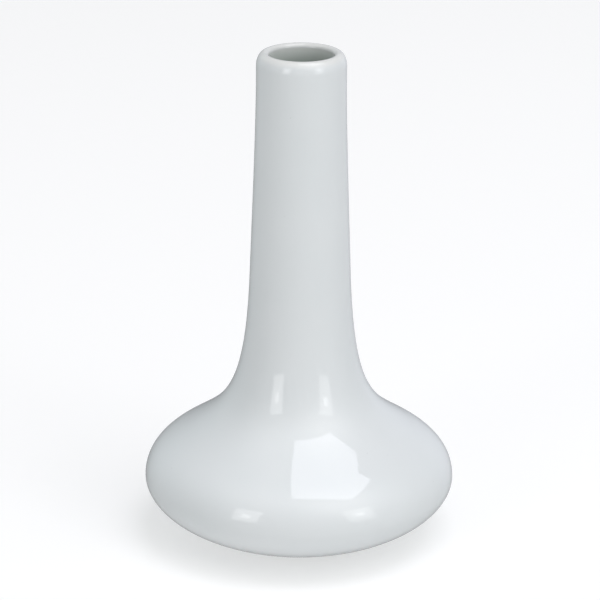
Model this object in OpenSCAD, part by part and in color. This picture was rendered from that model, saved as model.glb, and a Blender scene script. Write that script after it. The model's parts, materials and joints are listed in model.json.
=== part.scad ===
// Glazed porcelain bud vase: a wide, low bowl that sweeps up into a slender neck.
// Millimetres, +Z up. The origin is on the axis, on the ground under the foot ring.
//
// The bowl and the neck are two clay sections, joined by a ring of fired slip on the
// shoulder. Three coats of glaze cover them: outside, inside and under the foot.
// Every surface of the vase runs parallel to one outline, that of the glazed outside.

/* [Overall] */
// Height of the vase
vase_h = 150; // [125:1:180]
// Width of the bowl at its widest
belly_w = 93.5; // [77.5:0.5:112]

/* [Walls] */
// Thickness of the fired clay wall
wall_t = 3.1; // [2.5:0.1:3.8]
// Thickness of a coat of glaze
glaze_t = 0.3; // [0.2:0.05:0.4]

/* [Bowl] */
// Height of the widest part of the bowl
belly_z = 18; // [15:0.5:22]
// Width of the vase where the shoulder stops falling away and the flare begins
shoulder_w = 68.6; // [62:0.2:72]
// Height of that place
shoulder_z = 33.3; // [31:0.1:37]
// Slope of the wall at that place, in degrees from level
shoulder_slope = 34; // [30:1:38]

/* [Neck] */
// Width of the neck at the top of the flare
neck_w = 30; // [27:0.5:36]
// Height of the top of the flare
neck_z = 84; // [70:1:96]
// Lean of the wall at the top of the flare, in degrees from upright
neck_taper = 2; // [1:0.5:4]
// Width of the rim
rim_w = 26.4; // [22:0.2:32]
// Height of the rim's rounding on its outer side
rim_outer_h = 4; // [2.5:0.5:6]
// Rounding of the inner edge of the rim
rim_inner_round = 1.3; // [0.8:0.1:1.6]
// Length of the straight throat below the rim
throat_h = 10; // [6:1:14]
// Length over which the throat widens to follow the neck
throat_ease_h = 8; // [5:1:12]

/* [Joint] */
// Outer width of the vase where the neck is luted to the bowl
joint_w = 54; // [46:1:60]
// Thickness of the slip in the joint
slip_t = 0.4; // [0.3:0.05:0.6]

/* [Foot] */
// Outer width of the foot ring on the ground
foot_w = 40; // [34:1:48]
// Width of the ring's unglazed face on the ground
foot_face_w = 2.6; // [2:0.1:3.2]
// Easing of the ring's two edges
foot_ease = 0.5; // [0.3:0.1:0.7]
// Height of the glaze line above the ground
foot_h = 1.6; // [1.4:0.1:2.4]
// How far the ring's outer wall leans out up to the glaze line
foot_draft = 0.5; // [0.3:0.1:0.8]
// Slope of the underside where it leaves the ring, in degrees from level
foot_slope = 8; // [6:1:14]
// Depth of the glazed recess inside the ring
recess_h = 1.2; // [0.8:0.1:1.3]

/* [Curves] */
// Reach of the underside's curve out from the foot
foot_pull = 0.54; // [0.4:0.02:0.7]
// Fullness of the belly below its widest part
belly_low_pull = 0.2; // [0.14:0.02:0.4]
// Fullness of the belly above its widest part
belly_high_pull = 0.42; // [0.3:0.02:0.6]
// Reach of the shoulder's slope towards the belly
shoulder_pull = 0.3; // [0.16:0.02:0.36]
// Reach of the shoulder's slope towards the flare
flare_low_pull = 0.28; // [0.2:0.02:0.36]
// Reach of the neck down into the flare
flare_high_pull = 0.7; // [0.5:0.02:0.74]
// Reach of the neck's taper above the flare
taper_pull = 0.25; // [0.15:0.05:0.4]
// Reach of the rim's upright wall down the neck
rim_pull = 0.3; // [0.15:0.05:0.4]

/* [Hidden] */
$fn = 96;

porcelain_colour = [0.93, 0.92, 0.89];
slip_colour = [0.88, 0.86, 0.82];
glaze_colour = [0.88, 0.91, 0.92];

curve_steps = 16; // straight bands along each of the outline's four curves
round_steps = 12; // straight bands round each half of the lip

// Depths of the clay's two faces and of the inside glaze below the glazed outline
clay_outer = glaze_t;
clay_inner = glaze_t + wall_t;
glaze_inner = clay_inner + glaze_t;

// The lip rounds over from the neck's outer wall to its crown, and down into the throat.
// Its outer half is a quarter of an ellipse, its inner half a quarter of a circle.
rim_r = rim_w / 2;
mouth_r = rim_r - glaze_inner;
crown_r = mouth_r + rim_inner_round;
rim_outer_w = rim_r - crown_r;
rim_z = vase_h - rim_outer_h;
throat_top_z = vase_h - rim_inner_round;
throat_low_z = throat_top_z - throat_h;
throat_ease_z = throat_low_z - throat_ease_h;

// Foot ring, from the ground up
foot_r = foot_w / 2;
foot_in_r = foot_r - foot_face_w - 2 * foot_ease;
underside_z = recess_h + glaze_t;
floor_z = underside_z + wall_t;
floor_reach = 5; // how far the floor's curve keeps each end's direction

// ---- The outline: four curves, from the glaze line at the foot up to the rim ----

function heading(angle) = [cos(angle), sin(angle)];

glaze_line = [foot_r + foot_draft, foot_h];
widest = [belly_w / 2, belly_z];
shoulder = [shoulder_w / 2, shoulder_z];
flare_top = [neck_w / 2, neck_z];
rim = [rim_r, rim_z];

// A curve from a to b that leaves along a_way and arrives along b_way
function curve(a, a_way, a_pull, b, b_way, b_pull) =
    let (span = norm(b - a))
    [a, a + a_way * a_pull * span, b - b_way * b_pull * span, b];

outline = [
    curve(glaze_line, heading(foot_slope), foot_pull, widest, heading(90), belly_low_pull),
    curve(widest, heading(90), belly_high_pull,
          shoulder, heading(180 - shoulder_slope), shoulder_pull),
    curve(shoulder, heading(180 - shoulder_slope), flare_low_pull,
          flare_top, heading(90 + neck_taper), flare_high_pull),
    curve(flare_top, heading(90 + neck_taper), taper_pull, rim, heading(90), rim_pull)
];
flare = 2; // index of the curve that the joint lies on

function place(c, t) =
    pow(1 - t, 3) * c[0] + 3 * pow(1 - t, 2) * t * c[1]
    + 3 * (1 - t) * pow(t, 2) * c[2] + pow(t, 3) * c[3];

function speed(c, t) =
    3 * pow(1 - t, 2) * (c[1] - c[0]) + 6 * (1 - t) * t * (c[2] - c[1])
    + 3 * pow(t, 2) * (c[3] - c[2]);

// The point at a depth below the outline, square to it
function below(c, t, depth) =
    let (way = speed(c, t) / norm(speed(c, t)))
    place(c, t) + depth * [-way[1], way[0]];

// A stretch of one curve at a depth, both ends included
function stretch(i, from, to, depth) =
    [for (k = [0 : curve_steps]) below(outline[i], from + (to - from) * k / curve_steps, depth)];

function reversed(points) = [for (i = [len(points) - 1 : -1 : 0]) points[i]];

// Drops each point that the next one repeats
function merged(points) =
    [for (i = [0 : len(points) - 1])
        if (i == len(points) - 1 || norm(points[i] - points[i + 1]) > 0.001) points[i]];

// ---- The joint: a narrow slice square to the wall, where the outline is joint_w wide ----

function joint_place(lo, hi, turns) =
    let (mid = (lo + hi) / 2)
    turns == 0 ? mid
    : place(outline[flare], mid)[0] > joint_w / 2 ? joint_place(mid, hi, turns - 1)
    : joint_place(lo, mid, turns - 1);

joint_low_t = joint_place(0, 1, 20);
joint_high_t = joint_low_t + slip_t / norm(speed(outline[flare], joint_low_t));

// ---- Faces of the vase, each from its lowest point up ----

function bowl_face(depth) =
    concat(stretch(0, 0, 1, depth), stretch(1, 0, 1, depth), stretch(flare, 0, joint_low_t, depth));

function flare_face(depth) = stretch(flare, joint_high_t, 1, depth);

// Outside of the neck, over the lip and down into the top of the throat
function neck_face(depth) =
    concat(flare_face(depth), stretch(3, 0, 1, depth), lip_outer(depth), lip_inner(depth));

function lip_outer(depth) =
    [for (k = [0 : round_steps])
        let (way = heading(90 * k / round_steps),
             reach = [rim_outer_w * way[0], rim_outer_h * way[1]],
             spot = [rim_outer_w * reach[0], rim_outer_h * reach[1]] / norm(reach))
        [crown_r, rim_z] + spot - depth * way];

function lip_inner(depth) =
    [for (k = [0 : round_steps])
        [crown_r, throat_top_z] + (rim_inner_round - depth) * heading(90 + 90 * k / round_steps)];

// Bore of the neck: parallel to the outside, then eased into the straight throat
function neck_bore(depth) =
    let (throat_r = mouth_r + glaze_inner - depth,
         wall = concat(flare_face(depth), stretch(3, 0, 1, depth)),
         follow = [for (p = wall) if (p[1] < throat_ease_z) p])
    concat(follow, [[throat_r, throat_low_z], [throat_r, throat_top_z]]);

// Floor of the bowl, from the axis out to where the wall begins
function floor_face(depth) =
    let (wall = below(outline[0], 0, depth),
         middle = [0, floor_z + depth - clay_inner],
         way = -heading(foot_slope))
    [for (k = [0 : curve_steps])
        place([middle, middle + [floor_reach, 0], wall + floor_reach * way, wall],
              k / curve_steps)];

// Each sub-part is one section turned about the axis
module revolve(points) {
    rotate_extrude()
        polygon(merged(points));
}

// ---- Sub-parts ----

// Clay bowl: floor, belly and shoulder, with the unglazed foot ring turned from it
module bowl() {
    ring = [
        [0, underside_z],
        [foot_in_r - foot_draft, underside_z],
        [foot_in_r, foot_ease],
        [foot_in_r + foot_ease, 0],
        [foot_r - foot_ease, 0],
        [foot_r, foot_ease]
    ];
    inside = concat(floor_face(clay_inner), bowl_face(clay_inner));
    color(porcelain_colour)
        revolve(concat(ring, bowl_face(clay_outer), reversed(inside)));
}

// Clay neck: flare, straight neck and rounded lip
module neck() {
    color(porcelain_colour)
        revolve(concat(neck_face(clay_outer), reversed(neck_bore(clay_inner))));
}

// Slip that joins the neck to the bowl, flush with both faces of the wall
module luting_slip() {
    c = outline[flare];
    color(slip_colour)
        revolve([
            below(c, joint_low_t, clay_outer),
            below(c, joint_high_t, clay_outer),
            below(c, joint_high_t, clay_inner),
            below(c, joint_low_t, clay_inner)
        ]);
}

// Glaze on the outside, from the glaze line at the foot over the lip into the throat
module outer_glaze() {
    skin = concat(bowl_face(0), neck_face(0));
    clay = concat(bowl_face(clay_outer), neck_face(clay_outer));
    color(glaze_colour)
        revolve(concat(skin, reversed(clay)));
}

// Glaze on the inside, over the floor and up the walls to the lip
module inner_glaze() {
    skin = concat(floor_face(glaze_inner), bowl_face(glaze_inner), neck_bore(glaze_inner));
    clay = concat(floor_face(clay_inner), bowl_face(clay_inner), neck_bore(clay_inner));
    color(glaze_colour)
        revolve(concat(clay, reversed(skin)));
}

// Glaze on the underside, inside the foot ring
module foot_glaze() {
    color(glaze_colour)
        translate([0, 0, recess_h])
            cylinder(h = glaze_t, r = foot_in_r - foot_draft);
}

bowl();
neck();
luting_slip();
outer_glaze();
inner_glaze();
foot_glaze();
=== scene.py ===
import json
import math

import bmesh
import bpy
from mathutils import Matrix, Vector, noise
from mathutils.geometry import interpolate_bezier


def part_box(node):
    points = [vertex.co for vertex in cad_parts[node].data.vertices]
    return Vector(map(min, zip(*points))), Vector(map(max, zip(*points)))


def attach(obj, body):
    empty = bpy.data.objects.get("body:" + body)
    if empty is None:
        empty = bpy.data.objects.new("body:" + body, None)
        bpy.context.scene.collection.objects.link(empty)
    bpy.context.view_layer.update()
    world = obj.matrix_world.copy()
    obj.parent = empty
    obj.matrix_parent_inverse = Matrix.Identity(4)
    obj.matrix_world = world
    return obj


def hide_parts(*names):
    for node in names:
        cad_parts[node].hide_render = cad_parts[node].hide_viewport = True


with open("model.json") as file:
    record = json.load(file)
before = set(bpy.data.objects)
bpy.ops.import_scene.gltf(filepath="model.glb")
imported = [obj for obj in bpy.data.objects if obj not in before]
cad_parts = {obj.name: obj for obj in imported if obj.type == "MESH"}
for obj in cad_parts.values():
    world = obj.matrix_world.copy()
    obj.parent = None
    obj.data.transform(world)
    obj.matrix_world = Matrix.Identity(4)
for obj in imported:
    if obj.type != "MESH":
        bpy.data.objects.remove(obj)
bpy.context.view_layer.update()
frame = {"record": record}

mm = 0.001  # the frame is in metres, the settings below are in millimetres
samePoint = 0.0005 * mm  # points closer than this are one


# what the frame says
glazeLow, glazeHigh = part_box("outer_glaze")
footGlazeLow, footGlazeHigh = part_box("foot_glaze")
mouth = next(m for m in frame["record"]["mounts"] if m["name"] == "mouth")

vaseHeight = glazeHigh.z
bellyRadius = glazeHigh.x
glazeLine = glazeLow.z
recess = footGlazeLow.z
coat = footGlazeHigh.z - footGlazeLow.z  # thickness of the glaze
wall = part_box("bowl")[1].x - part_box("inner_glaze")[1].x  # thickness of the clay
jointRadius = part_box("luting_slip")[1].x
mouthRadius = mouth["dims"]["r_mm"] * mm
throatLength = mouth["dims"]["length_mm"] * mm
print("frame: height %.1f mm, belly %.1f mm" % (vaseHeight / mm, 2 * bellyRadius / mm))


# ways of drawing a section, all in the XZ plane
def heading(degrees):
    return Vector((math.cos(math.radians(degrees)), 0, math.sin(math.radians(degrees))))


def point(radius, height):
    return Vector((radius, 0, height))


def sweepTo(start, startWay, startPull, end, endWay, endPull, steps):
    span = (end - start).length
    leave = start + heading(startWay) * startPull * span
    arrive = end - heading(endWay) * endPull * span
    return interpolate_bezier(start, leave, arrive, end, steps + 1)


def arcRound(centre, radius, fromAngle, toAngle, steps):
    turn = (toAngle - fromAngle) / steps
    return [centre + heading(fromAngle + turn * k) * radius for k in range(steps + 1)]


def joined(*runs):  # end to end, without the points that two runs share
    points = []
    for run in runs:
        points += [p for p in run if not points or (p - points[-1]).length > samePoint]
    return points


def waysIn(points):  # unit vectors square to the outline, into the wall
    ways = []
    for i in range(len(points)):
        along = points[min(i + 1, len(points) - 1)] - points[max(i - 1, 0)]
        ways.append(Vector((-along.z, 0, along.x)).normalized())
    return ways


def sunk(points, depth):  # the same outline that far into the wall
    return [p + way * depth for p, way in zip(points, waysIn(points))]


def pointAt(points, place):  # a place is counted in points along the outline
    i = min(int(place), len(points) - 2)
    return points[i].lerp(points[i + 1], place - i)


def between(points, start, end):
    whole = points[int(start) + 1:math.ceil(end)]
    return joined([pointAt(points, start)], whole, [pointAt(points, end)])


def fade(value, gone, full):  # 0 at one value, 1 at the other, eased
    share = min(max((value - gone) / (full - gone), 0), 1)
    return share * share * (3 - 2 * share)


# the outline of the glazed outside, which every face of the wall runs parallel to
vaseOutline = {
    "lineRadius": 20.5,  # where the outside glaze stops, above the foot
    "footSlope": 8,
    "footPull": 0.54,
    "bellyHeight": 18,
    "bellyLowPull": 0.2,
    "bellyHighPull": 0.42,
    "shoulderRadius": 34.3,
    "shoulderHeight": 33.3,
    "shoulderSlope": 34,
    "shoulderPull": 0.3,
    "flareLowPull": 0.28,
    "flareHighPull": 0.7,
    "neckRadius": 15,
    "neckHeight": 84,
    "neckTaper": 2,
    "taperPull": 0.25,
    "rimPull": 0.3,
    "rimRadius": 13.2,
    "rimOuterHeight": 4,  # the lip's outer half is a quarter of an ellipse
    "rimInnerRound": 1.3,
    "easeLength": 8,  # where the straight throat opens into the neck
    "easeLean": 1,
    "easePull": 0.3,
    "floorReach": 5,
    "steps": (44, 34, 52, 30),
    "lipSteps": 16,
    "easeSteps": 6,
    "throatSteps": 4,
    "floorSteps": 24,
}

s = vaseOutline
linePoint = point(s["lineRadius"] * mm, glazeLine)
widest = point(bellyRadius, s["bellyHeight"] * mm)
shoulder = point(s["shoulderRadius"] * mm, s["shoulderHeight"] * mm)
flareTop = point(s["neckRadius"] * mm, s["neckHeight"] * mm)
innerRound = s["rimInnerRound"] * mm
crownRadius = mouthRadius + innerRound
outerWidth = s["rimRadius"] * mm - crownRadius
outerHeight = s["rimOuterHeight"] * mm
rimPoint = point(s["rimRadius"] * mm, vaseHeight - outerHeight)
throatTop = vaseHeight - innerRound
throatLow = throatTop - throatLength
fall = 180 - s["shoulderSlope"]
rise = 90 + s["neckTaper"]

outside = joined(
    sweepTo(linePoint, s["footSlope"], s["footPull"], widest, 90, s["bellyLowPull"], s["steps"][0]),
    sweepTo(widest, 90, s["bellyHighPull"], shoulder, fall, s["shoulderPull"], s["steps"][1]),
    sweepTo(shoulder, fall, s["flareLowPull"], flareTop, rise, s["flareHighPull"], s["steps"][2]),
    sweepTo(flareTop, rise, s["taperPull"], rimPoint, 90, s["rimPull"], s["steps"][3]),
)
lastPlace = len(outside) - 1
clayOut = sunk(outside, coat)
clayIn = sunk(outside, coat + wall)
print("outline: %d points" % len(outside))


def lipOver(depth):  # from the neck's wall over the crown to the throat
    steps = vaseOutline["lipSteps"]
    over = []
    for k in range(steps + 1):
        way = heading(90 * k / steps)
        reach = point(outerWidth * way.x, outerHeight * way.z)
        spot = point(outerWidth * reach.x, outerHeight * reach.z) / reach.length
        over.append(point(crownRadius, rimPoint.z) + spot - way * depth)
    down = arcRound(point(crownRadius, throatTop), innerRound - depth, 90, 180, steps)
    return joined(over, down)


def bore(depth, start=0):  # the inside of the wall up to the throat, that far below the outside
    v = vaseOutline
    easeHeight = throatLow - v["easeLength"] * mm
    radius = mouthRadius + wall + 2 * coat - depth
    wallRun = [p for p in between(sunk(outside, depth), start, lastPlace) if p.z < easeHeight]
    ease = sweepTo(wallRun[-1], 90 + v["easeLean"], v["easePull"],
                   point(radius, throatLow), 90, v["easePull"], v["easeSteps"])
    throat = [point(radius, throatLow + (throatTop - throatLow) * k / v["throatSteps"])
              for k in range(v["throatSteps"] + 1)]
    return joined(wallRun, ease, throat)


def floorOver(depth):  # the floor of the bowl, from the axis out to the wall
    reach = vaseOutline["floorReach"] * mm
    edge = sunk(outside, depth)[0]
    middle = point(0, recess + depth)
    arrive = edge - heading(vaseOutline["footSlope"]) * reach
    return interpolate_bezier(middle, middle + point(reach, 0), arrive, edge, vaseOutline["floorSteps"] + 1)


# from a section to a mesh: "give" says how far each of its points may wander
def spinSection(section, closed, give=None, turns=192):
    mesh = bmesh.new()
    giveLayer = mesh.verts.layers.float.new("give")
    verts = [mesh.verts.new(p) for p in section]
    for vert, share in zip(verts, give or []):
        vert[giveLayer] = share
    edges = [mesh.edges.new(pair) for pair in zip(verts, verts[1:])]
    if closed:
        edges.append(mesh.edges.new((verts[-1], verts[0])))
    bmesh.ops.spin(mesh, geom=verts + edges, cent=(0, 0, 0), axis=(0, 0, 1), dvec=(0, 0, 0),
                   angle=2 * math.pi, steps=turns, use_merge=True, use_duplicate=False)
    bmesh.ops.remove_doubles(mesh, verts=mesh.verts, dist=2 * samePoint)
    bmesh.ops.recalc_face_normals(mesh, faces=mesh.faces)
    if mesh.calc_volume(signed=True) < 0:  # the thin pool under the foot comes out inside out
        bmesh.ops.reverse_faces(mesh, faces=mesh.faces)
        mesh.normal_update()
    return mesh


# slow unevenness of a dipped coat: a positive amount thins it, a negative one builds it up
def wander(mesh, size, amount):
    giveLayer = mesh.verts.layers.float["give"]
    moves = []
    for vert in mesh.verts:
        lump = noise.noise(vert.co / (size * mm)) * 0.5 + 0.5  # from 0 to 1
        moves.append(vert.normal * lump * amount * mm * vert[giveLayer])
    for vert, move in zip(mesh.verts, moves):
        vert.co -= move


def finishPiece(name, mesh, material, node, sharpAngle=40):
    for face in mesh.faces:
        face.smooth = True
    for edge in mesh.edges:
        edge.smooth = edge.calc_face_angle(0) < math.radians(sharpAngle)
    data = bpy.data.meshes.new(name)
    mesh.to_mesh(data)
    mesh.free()
    data.attributes.remove(data.attributes["give"])
    piece = bpy.data.objects.new(name, data)
    bpy.context.scene.collection.objects.link(piece)
    piece.data.materials.append(material)
    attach(piece, "root")
    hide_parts(node)
    print("piece %s: %d faces" % (name, len(data.polygons)))
    return piece


# materials
def linear(code):
    parts = [int(code[i:i + 2], 16) / 255 for i in (1, 3, 5)]
    return [c / 12.92 if c <= 0.04045 else ((c + 0.055) / 1.055) ** 2.4 for c in parts] + [1]


def addNode(tree, kind, inputs={}, **settings):
    node = tree.nodes.new(kind)
    for key, value in settings.items():
        setattr(node, key, value)
    for key, value in inputs.items():
        if isinstance(value, bpy.types.NodeSocket):
            tree.links.new(value, node.inputs[key])
        else:
            node.inputs[key].default_value = value
    return node


def newMaterial(name, roughness, ior):
    material = bpy.data.materials.new(name)
    material.use_nodes = True
    tree = material.node_tree
    tree.nodes.clear()
    output = addNode(tree, "ShaderNodeOutputMaterial")
    shader = addNode(tree, "ShaderNodeBsdfPrincipled", {"Roughness": roughness, "IOR": ior})
    tree.links.new(shader.outputs[0], output.inputs[0])
    coords = addNode(tree, "ShaderNodeTexCoord").outputs["Object"]
    return material, tree, shader, coords


def perMetre(size):  # noise scale for lumps of that many millimetres
    return 1 / (size * mm)


def noiseOf(size, detail):  # settings of a noise whose lumps are that many millimetres
    return {"Scale": perMetre(size), "Detail": detail, "Roughness": 0.5}


outsideGlazeFinish = {
    "colour": "#e1e4e5",
    "thick": "#dbe0e1",  # where the coat pooled a little thicker and cooler
    "thin": "#e6e3dc",  # over the crown of the lip, where the warmer clay shows through
    "thinHeight": 2.2,
    "thinShare": 0.45,
    "deepShadeColour": "#dbe0e1",  # darker and greener further down inside: painted shade deep in the neck, with a greener tint where the coat pooled
    "deepShadeFrom": 0,
    "deepShadeTo": 1,
    "deepShadeShare": 0,
    "cloud": 24,
    "cloudDetail": 2,
    "speck": "#8f8a80",
    "speckSize": 0.16,
    "speckSpacing": 5.5,
    "speckShare": 0.35,
    "roughness": 0.03,
    "ior": 1.52,
    "ripple": 7,
    "rippleHeight": 0.012,
    "peel": 1.6,
    "peelHeight": 0.0012,
    "meltDetail": 1,
}

# inside, the colour turns darker and greener from 1.8 to 7.5 mm below the lip: painted shade in the neck,
# with a greener tint where the coat pooled
insideGlazeFinish = dict(
    outsideGlazeFinish, colour="#e4e8e5", thick="#dde2de", speckShare=0.2, thinShare=0.3,
    deepShadeColour="#8d9b92", deepShadeFrom=1.8, deepShadeTo=7.5, deepShadeShare=0.95,
)
footGlazeFinish = dict(outsideGlazeFinish, colour="#dfe2e2", thick="#d3dada", cloud=9, thinShare=0)


# clear gloss glaze, dipped and fired over white porcelain: cool white with a wet shine,
# clouded a little where the coat lay thicker, warmer where it drew thin over the lip, and inside darkened
# further down by painted shade, with a greener pooled tint
def glazeMaterial(name, finish):
    material, tree, shader, coords = newMaterial(name, finish["roughness"], finish["ior"])
    clouds = noiseOf(finish["cloud"], finish["cloudDetail"])
    cloud = addNode(tree, "ShaderNodeTexNoise", {"Vector": coords, **clouds})
    body = addNode(tree, "ShaderNodeMix", {
        0: cloud.outputs[0], 6: linear(finish["colour"]), 7: linear(finish["thick"]),
    }, data_type="RGBA")

    height = addNode(tree, "ShaderNodeSeparateXYZ", {0: coords}).outputs[2]
    thinning = addNode(tree, "ShaderNodeMapRange", {
        0: height, 1: vaseHeight - finish["thinHeight"] * mm, 2: vaseHeight, 3: 0, 4: finish["thinShare"],
    }, interpolation_type="SMOOTHSTEP")
    worn = addNode(tree, "ShaderNodeMix", {
        0: thinning.outputs[0], 6: body.outputs[2], 7: linear(finish["thin"]),
    }, data_type="RGBA")

    # painted shade: darker and greener further down inside the neck, partly a greener tint where the coat
    # pooled
    depth = addNode(tree, "ShaderNodeMapRange", {
        0: height, 1: vaseHeight - finish["deepShadeFrom"] * mm, 2: vaseHeight - finish["deepShadeTo"] * mm,
        3: 0, 4: finish["deepShadeShare"],
    })
    pooledAndShaded = addNode(tree, "ShaderNodeMix", {
        0: depth.outputs[0], 6: worn.outputs[2], 7: linear(finish["deepShadeColour"]),
    }, data_type="RGBA")

    # pinholes and iron specks, a few to the square centimetre
    cells = addNode(tree, "ShaderNodeTexVoronoi", {
        "Vector": coords, "Scale": perMetre(finish["speckSpacing"]), "Randomness": 1,
    })
    speckEdge = finish["speckSize"] / finish["speckSpacing"]
    speck = addNode(tree, "ShaderNodeMapRange", {
        0: cells.outputs["Distance"], 1: speckEdge / 2, 2: speckEdge, 3: finish["speckShare"], 4: 0,
    })
    colour = addNode(tree, "ShaderNodeMix", {
        0: speck.outputs[0], 6: pooledAndShaded.outputs[2], 7: linear(finish["speck"]),
    }, data_type="RGBA")
    tree.links.new(colour.outputs[2], shader.inputs["Base Color"])

    # the melt never lies quite flat: long ripples, and a faint orange peel
    ripples = noiseOf(finish["ripple"], finish["meltDetail"])
    ripple = addNode(tree, "ShaderNodeTexNoise", {"Vector": coords, **ripples})
    long = addNode(tree, "ShaderNodeBump", {
        "Height": ripple.outputs[0], "Strength": 1, "Distance": finish["rippleHeight"] * mm,
    })
    peels = noiseOf(finish["peel"], finish["meltDetail"])
    peel = addNode(tree, "ShaderNodeTexNoise", {"Vector": coords, **peels})
    fine = addNode(tree, "ShaderNodeBump", {
        "Height": peel.outputs[0], "Strength": 1, "Distance": finish["peelHeight"] * mm,
        "Normal": long.outputs[0],
    })
    tree.links.new(fine.outputs[0], shader.inputs["Normal"])
    return material


footClayFinish = {
    "colour": "#e4ded3",
    "dark": "#d3cabb",
    "roughness": 0.72,
    "ior": 1.5,
    "grain": 0.35,
    "grainDetail": 4,
    "grainHeight": 0.02,
    "turning": 0.45,  # spacing of the lines that the turning tool left
    "turningHeight": 0.012,
    "rubbed": "#b9b1a4",  # grey that the ring picks up from tables
    "rubbedHeight": 0.12,
    "rubbedShare": 0.5,
    "blotch": 3,
    "blotchDetail": 3,
}
slipFinish = dict(
    footClayFinish, colour="#dcd6ca", dark="#cbc3b4", grain=0.6, turningHeight=0, rubbedShare=0,
)


# bare fired porcelain, turned on the wheel and sanded: warm white and matt, with a fine tooth,
# faint turning lines, and a grey bloom on the face that stands on tables
def bareMaterial(name, finish):
    material, tree, shader, coords = newMaterial(name, finish["roughness"], finish["ior"])
    grains = noiseOf(finish["grain"], finish["grainDetail"])
    grain = addNode(tree, "ShaderNodeTexNoise", {"Vector": coords, **grains})
    tint = addNode(tree, "ShaderNodeMix", {
        0: grain.outputs[0], 6: linear(finish["colour"]), 7: linear(finish["dark"]),
    }, data_type="RGBA")

    height = addNode(tree, "ShaderNodeSeparateXYZ", {0: coords}).outputs[2]
    contact = addNode(tree, "ShaderNodeMapRange", {
        0: height, 1: 0, 2: finish["rubbedHeight"] * mm, 3: finish["rubbedShare"], 4: 0,
    })
    blotches = noiseOf(finish["blotch"], finish["blotchDetail"])
    blotch = addNode(tree, "ShaderNodeTexNoise", {"Vector": coords, **blotches})
    rub = addNode(tree, "ShaderNodeMath", {0: contact.outputs[0], 1: blotch.outputs[0]},
                  operation="MULTIPLY")
    colour = addNode(tree, "ShaderNodeMix", {
        0: rub.outputs[0], 6: tint.outputs[2], 7: linear(finish["rubbed"]),
    }, data_type="RGBA")
    tree.links.new(colour.outputs[2], shader.inputs["Base Color"])

    flat = addNode(tree, "ShaderNodeVectorMath", {0: coords, 1: (1, 1, 0)}, operation="MULTIPLY")
    radius = addNode(tree, "ShaderNodeVectorMath", {0: flat.outputs[0]}, operation="LENGTH")
    turns = addNode(tree, "ShaderNodeMath", {
        0: radius.outputs["Value"], 1: 2 * math.pi / (finish["turning"] * mm),
    }, operation="MULTIPLY")
    lines = addNode(tree, "ShaderNodeMath", {0: turns.outputs[0]}, operation="SINE")
    turned = addNode(tree, "ShaderNodeBump", {
        "Height": lines.outputs[0], "Strength": 1, "Distance": finish["turningHeight"] * mm,
    })
    toothed = addNode(tree, "ShaderNodeBump", {
        "Height": grain.outputs[0], "Strength": 1, "Distance": finish["grainHeight"] * mm,
        "Normal": turned.outputs[0],
    })
    tree.links.new(toothed.outputs[0], shader.inputs["Normal"])
    return material


outsideGlaze = glazeMaterial("clear gloss glaze, outside", outsideGlazeFinish)
insideGlaze = glazeMaterial("clear gloss glaze, inside", insideGlazeFinish)
footGlaze = glazeMaterial("clear gloss glaze, underside", footGlazeFinish)
barePorcelain = bareMaterial("bare fired porcelain", footClayFinish)
firedSlip = bareMaterial("fired slip", slipFinish)
print("materials: %d" % len(bpy.data.materials))


# outside coat: ends in a rounded roll above the foot, on a line that wavers
outsideCoat = {
    "rollExtra": 0.1,  # how much thicker the roll is than the coat
    "rollLength": 1.6,
    "rollSteps": 10,
    "lineBack": 0.34,  # how far the line stands back from the foot's corner, and wavers either way
    "lineWaver": 0.22,
    "lineReach": 6,
    "waverSize": 9,
    "footHeight": 6,  # up to here the line carries the coat with it, and the lumps are still fading in
    "lipCalm": 8,  # they fade out over this length below the lip
    "lumpSize": 30,
    "lumpDepth": 0.07,
}


def outsideSection():
    c = outsideCoat
    rolled = []
    for p, way in zip(outside, waysIn(outside)):
        swell = 1 - fade((p - linePoint).length, 0, c["rollLength"] * mm)
        rolled.append(p - way * swell * c["rollExtra"] * mm)
    skin = joined(rolled, lipOver(0))
    under = joined(clayOut, lipOver(coat))
    rollMiddle = (skin[0] + under[0]) / 2
    rollRadius = (skin[0] - under[0]).length / 2
    way = vaseOutline["footSlope"] + 90
    roll = arcRound(rollMiddle, rollRadius, way, way + 180, c["rollSteps"])[1:-1]
    give = [fade(p.z, rimPoint.z, rimPoint.z - c["lipCalm"] * mm) * fade(p.z, glazeLine, c["footHeight"] * mm)
            for p in skin]
    return joined(roll, skin, reversed(under)), [0] * len(roll) + give + [0] * len(under)


# the glaze line moves out along the underside, and carries the coat with it
def waverLine(mesh):
    c = outsideCoat
    along = heading(vaseOutline["footSlope"])
    for vert in mesh.verts:
        radius = vert.co.xy.length
        share = 1 - fade(radius, linePoint.x, linePoint.x + c["lineReach"] * mm)
        if share == 0 or vert.co.z > c["footHeight"] * mm:
            continue
        outward = vert.co.xy.normalized()
        side = Vector((outward.x, outward.y, 0)) * linePoint.x / (c["waverSize"] * mm)
        step = (c["lineBack"] + c["lineWaver"] * noise.noise(side)) * mm * share
        vert.co += Vector((outward.x * along.x, outward.y * along.x, along.z)) * step


section, give = outsideSection()
mesh = spinSection(section, closed=True, give=give)
wander(mesh, outsideCoat["lumpSize"], outsideCoat["lumpDepth"])
waverLine(mesh)
finishPiece("outsideGlaze", mesh, outsideGlaze, "outer_glaze")

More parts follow.
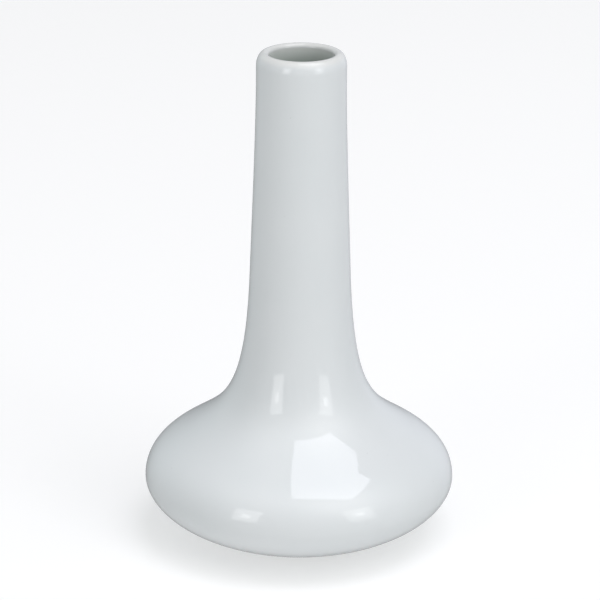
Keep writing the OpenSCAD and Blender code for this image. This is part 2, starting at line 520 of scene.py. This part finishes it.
# inside coat: poured in and tipped out, so it built up unevenly below the throat
insideCoat = {
    "throatCalm": 2,  # even down to here below the throat
    "throatFade": 12,  # and fully lumpy from here down
    "lumpSize": 14,
    "lumpHeight": 0.12,
}
skin = joined(floorOver(wall + 2 * coat), bore(wall + 2 * coat))
under = joined(floorOver(wall + coat), bore(wall + coat))
calmHeight = throatLow - insideCoat["throatCalm"] * mm
fullHeight = throatLow - insideCoat["throatFade"] * mm
give = [0] * len(under) + [fade(p.z, calmHeight, fullHeight) for p in reversed(skin)]
mesh = spinSection(joined(under, reversed(skin)), closed=False, give=give)
wander(mesh, insideCoat["lumpSize"], -insideCoat["lumpHeight"])
finishPiece("insideGlaze", mesh, insideGlaze, "inner_glaze")

# joint: both clay faces were scored, and the slip fills the scores
joint = {"slip": 0.4, "scores": 4, "scoreDepth": 0.15}
jointAfter = next(i for i, p in enumerate(clayOut) if p.z > shoulder.z and p.x < jointRadius)
stepIn = clayOut[jointAfter - 1] - clayOut[jointAfter]
bowlEnd = jointAfter - (jointRadius - clayOut[jointAfter].x) / stepIn.x
neckStart = bowlEnd + joint["slip"] * mm / (outside[jointAfter] - outside[jointAfter - 1]).length


# across the wall from the outside in, where "into" is +1 for up the wall and -1 for down it
def scoredFace(place, into):
    outer = pointAt(clayOut, place)
    inner = pointAt(clayIn, place)
    across = (inner - outer).normalized()
    up = Vector((across.z, 0, -across.x))
    marks = 2 * joint["scores"]
    depth = joint["scoreDepth"] * mm * into
    return [outer.lerp(inner, k / marks) + up * depth * (k % 2) for k in range(marks + 1)]


# foot ring, from the recess down to the ground and up to the glaze line
footRing = {
    "radius": 20,
    "faceWidth": 2.6,
    "ease": 0.5,
    "easeSteps": 6,
    "draft": 0.5,
    "grooves": 4,  # left in the face by the turning tool
    "grooveDepth": 0.035,
}
f = footRing
footRadius = f["radius"] * mm
ease = f["ease"] * mm
footInner = footRadius - f["faceWidth"] * mm - 2 * ease
recessRadius = footInner - f["draft"] * mm
marks = 2 * f["grooves"]
face = [point(footInner + ease + f["faceWidth"] * mm * k / marks, f["grooveDepth"] * mm * (k % 2))
        for k in range(marks + 1)]
ring = joined(
    [point(0, recess + coat), point(recessRadius, recess + coat)],
    arcRound(point(footInner + ease, ease), ease, 180, 270, f["easeSteps"]),
    face,
    arcRound(point(footRadius - ease, ease), ease, 270, 360, f["easeSteps"]),
)

bowlSection = joined(
    ring,
    between(clayOut, 0, bowlEnd),
    scoredFace(bowlEnd, -1),
    reversed(between(clayIn, 0, bowlEnd)),
    reversed(floorOver(coat + wall)),
)
finishPiece("clayBowl", spinSection(bowlSection, closed=False), barePorcelain, "bowl")

neckSection = joined(
    between(clayOut, neckStart, lastPlace),
    lipOver(coat),
    reversed(bore(coat + wall, neckStart)),
    reversed(scoredFace(neckStart, 1)),
)[:-1]
finishPiece("clayNeck", spinSection(neckSection, closed=True), barePorcelain, "neck")

slipSection = joined(scoredFace(bowlEnd, -1), reversed(scoredFace(neckStart, 1)))
finishPiece("slipRing", spinSection(slipSection, closed=True), firedSlip, "luting_slip")

# coat on the underside: it pooled there, so it creeps down the inside of the ring
undersideCoat = {
    "creep": 0.55,
    "creepWay": 292,  # which way it runs out at its lowest edge
    "creepPull": 0.6,
    "round": 0.8,
    "pull": 0.3,
    "poolSteps": 14,
    "edgeSteps": 8,
    "edgeCalm": 0.5,  # even this near to the ring
    "edgeFade": 3,  # and fully lumpy from here in
    "lumpSize": 6,
    "lumpDepth": 0.05,
}
u = undersideCoat
top = recess + coat
creepHeight = recess - u["creep"] * mm
creepRadius = recessRadius + (footInner - recessRadius) * (top - creepHeight) / (top - ease)
poolEdge = point(recessRadius - u["round"] * mm, recess)
pool = sweepTo(point(0, recess), 0, u["pull"], poolEdge, 0, u["pull"], u["poolSteps"])
creep = sweepTo(poolEdge, 0, u["creepPull"],
                point(creepRadius, creepHeight), u["creepWay"], u["pull"], u["edgeSteps"])
back = sweepTo(point(recessRadius, top), 180, u["pull"], point(0, top), 180, u["pull"], u["edgeSteps"])
give = [fade(p.x, recessRadius - u["edgeCalm"] * mm, recessRadius - u["edgeFade"] * mm) for p in pool]
give += [0] * (len(creep) + len(back))
mesh = spinSection(joined(pool, creep, back), closed=False, give=give)
wander(mesh, undersideCoat["lumpSize"], undersideCoat["lumpDepth"])
finishPiece("undersideGlaze", mesh, footGlaze, "foot_glaze")

# floor: a pale sweep that glows enough to look white, with only a soft shadow under the vase,
# and that stays out of the reflections as a cut-out ground would
floorSettings = {"size": 8, "paint": "#cfcfcf", "glow": 0.41, "roughness": 0.9, "specular": 0.1}
floorMesh = bmesh.new()
bmesh.ops.create_grid(floorMesh, x_segments=1, y_segments=1, size=floorSettings["size"] / 2)
floorData = bpy.data.meshes.new("studioFloor")
floorMesh.to_mesh(floorData)
floorMesh.free()
floor = bpy.data.objects.new("studioFloor", floorData)
bpy.context.scene.collection.objects.link(floor)
floor.visible_glossy = False
floorPaint = bpy.data.materials.new("white studio sweep")
floorPaint.use_nodes = True
floorShader = floorPaint.node_tree.nodes["Principled BSDF"]
floorShader.inputs["Base Color"].default_value = linear(floorSettings["paint"])
floorShader.inputs["Roughness"].default_value = floorSettings["roughness"]
floorShader.inputs["Specular IOR Level"].default_value = floorSettings["specular"]
floorShader.inputs["Emission Color"].default_value = (1, 1, 1, 1)
floorShader.inputs["Emission Strength"].default_value = floorSettings["glow"]
floor.data.materials.append(floorPaint)


# light: azimuth 0 is towards the camera and 90 is to its right, in degrees
def towards(azimuth, elevation):
    a, e = math.radians(azimuth), math.radians(elevation)
    return Vector((math.sin(a) * math.cos(e), -math.cos(a) * math.cos(e), math.sin(e)))


# big soft sources are glows on the surround: bright towards one side, gone a quarter turn away
glows = {
    "frontRight": {"azimuth": 45, "elevation": 54, "tightness": 8, "strength": 2.15, "tint": "#ffffff"},
    "frontLeft": {"azimuth": -60, "elevation": 64, "tightness": 8, "strength": 1.03, "tint": "#ffffff"},
    "backRight": {"azimuth": 150, "elevation": 10, "tightness": 6, "strength": 0.79, "tint": "#f0f5ff"},
    "backLeft": {"azimuth": 225, "elevation": 20, "tightness": 6, "strength": 0.72, "tint": "#f0fbff"},
    "groundBounce": {"azimuth": 180, "elevation": -60, "tightness": 2, "strength": 0.3, "tint": "#ffffff"},
}
world = bpy.data.worlds.new("soft studio surround")
bpy.context.scene.world = world
world.use_nodes = True
sky = world.node_tree
direction = addNode(sky, "ShaderNodeTexCoord").outputs["Generated"]
total = (0, 0, 0)
for name, glow in glows.items():
    middle = towards(glow["azimuth"], glow["elevation"])
    side = addNode(sky, "ShaderNodeVectorMath", {0: direction, 1: middle},
                   operation="DOT_PRODUCT").outputs["Value"]
    lit = addNode(sky, "ShaderNodeMath", {0: side, 1: 0}, operation="MAXIMUM").outputs[0]
    tight = addNode(sky, "ShaderNodeMath", {0: lit, 1: glow["tightness"]}, operation="POWER").outputs[0]
    colour = [channel * glow["strength"] for channel in linear(glow["tint"])[:3]]
    total = addNode(sky, "ShaderNodeVectorMath", {0: tight, 1: colour, 2: total},
                    operation="MULTIPLY_ADD").outputs[0]
sky.links.new(total, sky.nodes["Background"].inputs["Color"])

# softboxes that the glaze mirrors: two upright strips, each with a hotter core, and a ceiling panel
softboxes = {
    "leftStrip": {"centre": (-0.903, -1.115, 0.499), "size": (0.5, 0.85), "radiance": 2.1},
    "leftCore": {"centre": (-0.877, -1.083, 0.46), "size": (0.16, 0.22), "radiance": 2.6},
    "rightStrip": {"centre": (1.032, -0.996, 0.499), "size": (0.54, 0.85), "radiance": 1.75},
    "rightCore": {"centre": (0.986, -0.952, 0.532), "size": (0.16, 0.22), "radiance": 2.8},
    "ceilingPanel": {"centre": (0.395, -0.14, 1.5), "size": (0.97, 0.84), "radiance": 2.6},
}
panelTint = "#f6f6ff"
aim = Vector((0, 0, 0.06))  # the strips face the flare, the panel faces straight down
for name, box in softboxes.items():
    width, height = box["size"]
    light = bpy.data.lights.new(name, "AREA")
    light.shape = "RECTANGLE"
    light.size = width
    light.size_y = height
    light.color = linear(panelTint if name == "ceilingPanel" else "#ffffff")[:3]
    light.energy = box["radiance"] * math.pi * width * height
    lamp = bpy.data.objects.new(name, light)
    lamp.location = box["centre"]
    if name != "ceilingPanel":
        lamp.rotation_euler = (lamp.location - aim).to_track_quat("Z", "Y").to_euler()
    bpy.context.scene.collection.objects.link(lamp)
print("lights: %d softboxes, %d glows" % (len(softboxes), len(glows)))

# camera
shot = {
    "pitch": 20.06,
    "distance": 784.5,  # along the floor
    "height": 360.2,
    "focal": 168,
    "roll": 0.38,
    "sensor": 36,
}
cameraData = bpy.data.cameras.new("shot")
cameraData.lens = shot["focal"]
cameraData.sensor_width = shot["sensor"]
camera = bpy.data.objects.new("shot", cameraData)
bpy.context.scene.collection.objects.link(camera)
tilt = Matrix.Rotation(math.radians(90 - shot["pitch"]), 4, "X")
roll = Matrix.Rotation(math.radians(shot["roll"]), 4, "Z")
stand = Matrix.Translation((0, -shot["distance"] * mm, shot["height"] * mm))
camera.matrix_world = stand @ tilt @ roll
bpy.context.scene.camera = camera
bpy.context.scene.view_settings.view_transform = "Standard"
